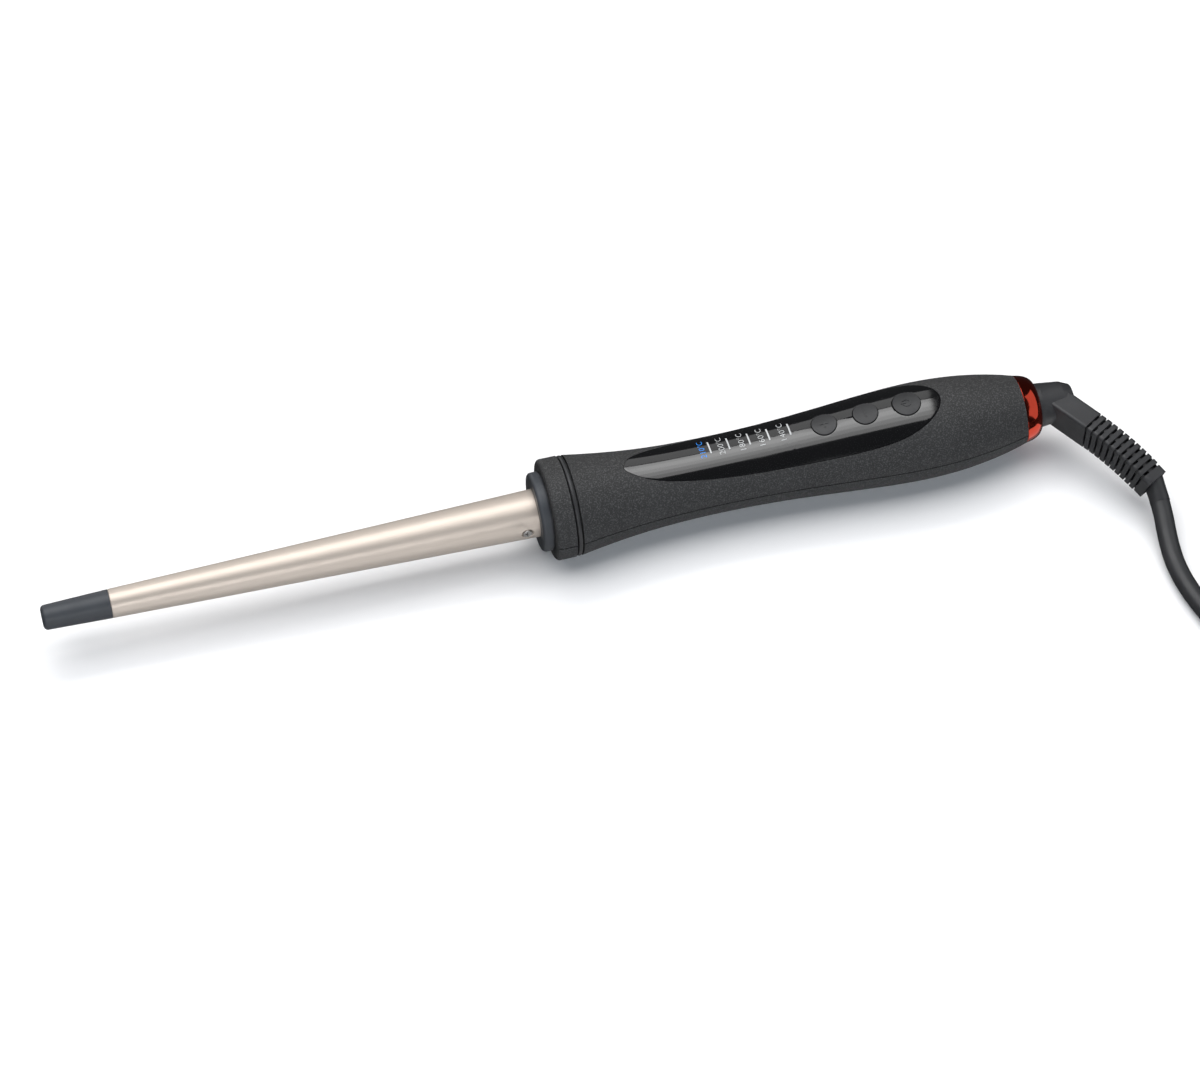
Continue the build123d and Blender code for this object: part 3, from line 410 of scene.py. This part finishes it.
def numeral_mesh(text, x):
    """A numeral that reads across the wand, its top towards the tip, in narrow figures."""
    curve = bpy.data.curves.new("numeral", "FONT")
    curve.body = text + "\u00b0C"
    curve.size = 1.0
    curve.offset = NUMERAL_THINNING
    curve.resolution_u = 4
    holder = link(bpy.data.objects.new("numeral", curve))
    mesh = bpy.data.meshes.new_from_object(holder)
    bpy.data.objects.remove(holder)
    across = [v.co.x for v in mesh.vertices]
    upward = [v.co.y for v in mesh.vertices]
    length, height = max(across) - min(across), max(upward) - min(upward)
    for vertex in mesh.vertices:
        along = (vertex.co.x - min(across)) / length
        rise = (vertex.co.y - min(upward)) / height - 0.5
        vertex.co = (x * MM - rise * NUMERAL_HEIGHT * MM,
                     (NUMERAL_NEAR + along * (NUMERAL_FAR - NUMERAL_NEAR)) * MM, 0.0)
    return mesh


def printed_piece(name, meshes, ticks, surface, material):
    """One piece of print from flat numerals, with the ticks if asked for."""
    build = bmesh.new()
    for mesh in meshes:
        build.from_mesh(mesh)
    bmesh.ops.triangulate(build, faces=build.faces)
    for _ in range(3):
        long_edges = [e for e in build.edges if e.calc_length() > LONGEST_EDGE * MM]
        bmesh.ops.subdivide_edges(build, edges=long_edges, cuts=1)
    if ticks:
        tick_faces(build)
    bmesh.ops.triangulate(build, faces=build.faces)
    mesh = bpy.data.meshes.new(name)
    build.to_mesh(mesh)
    build.free()
    lay_on_panel(mesh, surface)
    mesh.materials.append(material)
    piece = link(bpy.data.objects.new(name, mesh))
    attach(piece, "handle")
    return piece


def soften_edges(name, width):
    """A small rounding on a CAD node's sharp edges, which catches the light."""
    weld = nodes[name].modifiers.new("weld", "WELD")
    weld.merge_threshold = 0.01 * MM
    bevel = nodes[name].modifiers.new("bevel", "BEVEL")
    bevel.width = width * MM
    bevel.segments = 3
    bevel.limit_method = "ANGLE"
    bevel.angle_limit = radians(40)
    bevel.use_clamp_overlap = True


def make_scale():
    """White ticks and numerals on the panel; the hottest setting is lit in blue."""
    surface = panel_surface()
    meshes = [numeral_mesh(text, x - NUMERAL_GAP) for text, x in zip(NUMERALS, TICKS_X)]
    ink = moulded("white_print", (0.47, 0.48, 0.49), 0.5, grain=0.0002, depth=0.000003)
    scale = printed_piece("printed_scale", meshes[1:], True, surface, ink)
    lamp, shader = new_material("lit_numeral", (0.02, 0.12, 0.4), 0.4)
    tree = lamp.node_tree
    glow = blend_colours(tree, ranged(tree, noise(tree, 0.002, 2.0), 0.0, 1.0),
                         (0.01, 0.17, 0.56), (0.015, 0.26, 0.75))
    tree.links.new(glow, shader.inputs["Emission Color"])
    shader.inputs["Emission Strength"].default_value = 0.9
    printed_piece("lit_numeral", meshes[:1], False, surface, lamp)


# ---- floor and light ---------------------------------------------------------------
def area_light(name, matrix, size, radiance, diffuse=True, glossy=True, colour=(1.0, 1.0, 1.0)):
    """A rectangular light that faces along its own -Z."""
    data = bpy.data.lights.new(name, "AREA")
    data.shape = "RECTANGLE"
    data.size, data.size_y = size
    data.energy = radiance * pi * size[0] * size[1]
    data.color = colour
    lamp = link(bpy.data.objects.new(name, data))
    lamp.matrix_world = matrix
    lamp.visible_diffuse = diffuse
    lamp.visible_glossy = glossy
    lamp.visible_camera = False


def softbox(name, angle, distance, size, radiance, x=0.0, **options):
    """A softbox over the wand's axis, angle degrees from straight up towards the far side."""
    place = Vector((x, distance * sin(radians(angle)), distance * cos(radians(angle))))
    aim = Vector((x, 0, 0)) - place
    side = aim.cross(Vector((1, 0, 0))).normalized()
    across = side.cross(aim).normalized()
    turn = Matrix((across, side, -aim.normalized())).transposed().to_4x4()
    area_light(name, Matrix.Translation(place) @ turn, size, radiance, **options)


STRIP_DISTANCE = 1.2
# (start, end, radiance): degrees from straight up to the far side
LONG_STRIPS = [
    (-125, -85, 0.85), (-15, -5, 1.1), (-5, 5, 1.55), (5, 15, 2.15), (15, 27, 2.55),
    (27, 35, 2.1), (37, 63, 0.6),
]
BARREL_STRIPS = [(-73, -57, 2.8), (66, 106, 0.65)]
# how long the strips are and where their middle is along the wand
LONG_LENGTH, LONG_X = 1.65, -0.375
BARREL_LENGTH, BARREL_X = 1.2, -0.5


def reflected_lights():
    """Strips and cards that only show as reflections."""
    for strips, length, x in ((LONG_STRIPS, LONG_LENGTH, LONG_X),
                              (BARREL_STRIPS, BARREL_LENGTH, BARREL_X)):
        for start, end, radiance in strips:
            height = 2 * STRIP_DISTANCE * tan(radians((end - start) / 2))
            softbox(f"strip_{start}", (start + end) / 2, STRIP_DISTANCE, (length, height),
                    radiance, x=x, diffuse=False)
    softbox("floor_glow", 205.0, 0.9, (3.0, 1.2), 0.3, diffuse=False)
    faces_up = Matrix.Rotation(pi, 4, "X")
    area_light("low_card", Matrix.Translation(Vector((0.8, -0.5, -0.5))) @ faces_up,
               (0.9, 0.8), 0.7, diffuse=False)
    tilt = Matrix.Rotation(radians(29), 4, "X")
    faces_tip = Matrix(((0, 0, 1), (1, 0, 0), (0, 1, 0))).to_4x4()
    area_light("right_card", Matrix.Translation(Vector((0.77, -0.25, 0.43))) @ tilt @ faces_tip,
               (1.1, 0.62), 0.75, diffuse=False)


def make_stage():
    """A white paper floor, a dim room and softboxes."""
    half = 12.0                          # of the floor's width
    mesh = bpy.data.meshes.new("floor")
    mesh.from_pydata([(-half, -half, 0), (half, -half, 0), (half, half, 0), (-half, half, 0)],
                     [], [(0, 1, 2, 3)])
    floor = link(bpy.data.objects.new("floor", mesh))
    paper, shader = new_material("white_paper", (0.90, 0.90, 0.91), 0.9)
    shader.inputs["Specular IOR Level"].default_value = 0.0
    mesh.materials.append(paper)
    floor.visible_glossy = False
    floor.visible_shadow = False
    world = bpy.data.worlds.new("studio")
    world.use_nodes = True
    room = world.node_tree.nodes["Background"]
    room.inputs["Color"].default_value = (0.90, 0.95, 1.0, 1)
    room.inputs["Strength"].default_value = 0.04
    scene.world = world
    softbox("top_light", 8.0, 1.2, (2.4, 1.04), 2.7, glossy=False)
    softbox("back_light", 38.0, 1.6, (1.3, 0.7), 4.2, x=0.15, glossy=False,
            colour=(1.0, 0.985, 0.96))
    softbox("front_light", -58.0, 1.6, (2.6, 1.3), 1.4, glossy=False, colour=(0.86, 0.93, 1.0))
    reflected_lights()


make_camera()
make_cord()
materials = make_materials()
dress_nodes(materials)
bpy.data.objects["cord"].data.materials.append(materials["cord_plastic"])
make_scale()
soften_edges("control_panel", 0.28)
soften_edges("tail_ring", 0.3)
soften_edges("strain_relief", 0.25)
make_stage()
